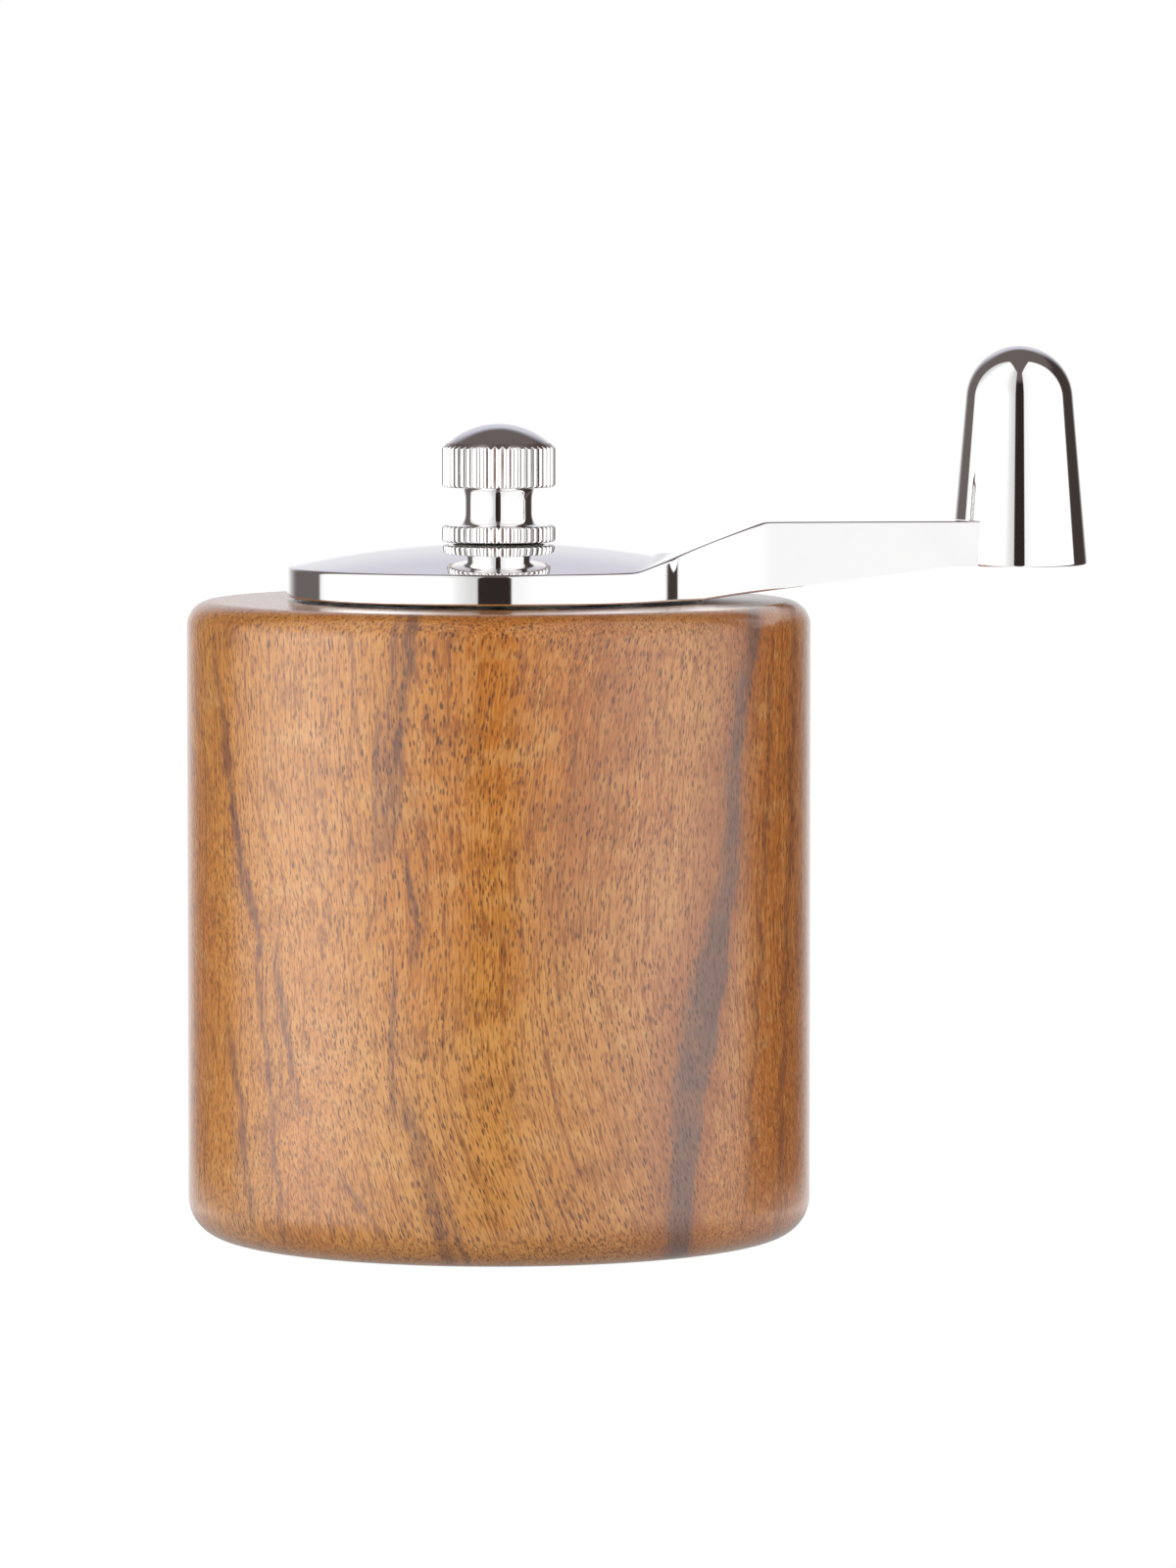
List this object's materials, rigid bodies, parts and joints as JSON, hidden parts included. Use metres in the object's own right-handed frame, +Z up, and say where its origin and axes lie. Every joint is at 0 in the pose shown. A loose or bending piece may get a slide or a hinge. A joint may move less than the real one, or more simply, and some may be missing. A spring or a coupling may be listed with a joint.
{
  "type": "burr coffee grinder",
  "caption": "Compact hand grinder: round wood body, conical burr set in the foot, hollow metal crank cap with a tapered upright knob, and a knurled nut that sets the grind.",
  "frame": {"origin": "on the wood body's axis, in the plane of its base", "axes": "+Z up the shaft, +X towards the crank's knob at rest, -Y towards the front"},
  "size_m": [0.0939, 0.065, 0.0928],
  "materials": {
    "wood": "satin",
    "chrome": "mirror",
    "steel": "satin",
    "burr_steel": "satin",
    "spring_steel": "polished",
    "brass": "satin",
    "nylon": "matte",
    "dark_plastic": "matte"
  },
  "bodies": {
    "body": {"wood_body": "wood", "top_plate": "steel", "top_plate_screws": "steel", "top_bearing": "brass", "thrust_washer": "nylon", "retaining_ring": "steel", "ring_screws": "steel", "burr_carrier": "dark_plastic", "outer_burr": "burr_steel", "guide_bridge": "steel", "guide_bush": "brass"},
    "bush": {"drive_bush": "brass", "bush_clip": "spring_steel"},
    "shaft": {"drive_shaft": "steel", "inner_burr": "burr_steel", "burr_washer": "steel", "burr_screw": "steel", "spring_seat": "steel", "burr_spring": "spring_steel"},
    "crank": {"crank": "chrome", "drive_insert": "burr_steel", "crank_knob": "chrome", "knob_screw": "steel"},
    "washer": {"nut_washer": "nylon"},
    "nut": {"adjust_nut": "chrome"}
  },
  "joints": [
    {"name": "crank_turn", "type": "hinge", "parent": "body", "child": "bush", "pos_m": [0, 0, 0.0615], "axis": [0, 0, 1], "continuous": true},
    {"name": "burr_height", "type": "slide", "parent": "bush", "child": "shaft", "axis": [0, 0, 1], "range_m": [-0.0012, 0.0006], "deforming": ["burr_spring"]},
    {"name": "crank_lift", "type": "slide", "parent": "bush", "child": "crank", "axis": [0, 0, 1], "range_m": [0, 0.04]},
    {"name": "nut_lift", "type": "slide", "parent": "crank", "child": "washer", "axis": [0, 0, 1], "range_m": [0, 0.015]},
    {"name": "nut_turn", "type": "hinge", "parent": "washer", "child": "nut", "pos_m": [0, 0, 0.078], "axis": [0, 0, 1], "range_deg": [-270, 540]}
  ],
  "couplings": [
    {"joint": "nut_turn", "follows": "burr_height", "rad_per_m": -7854}
  ]
}
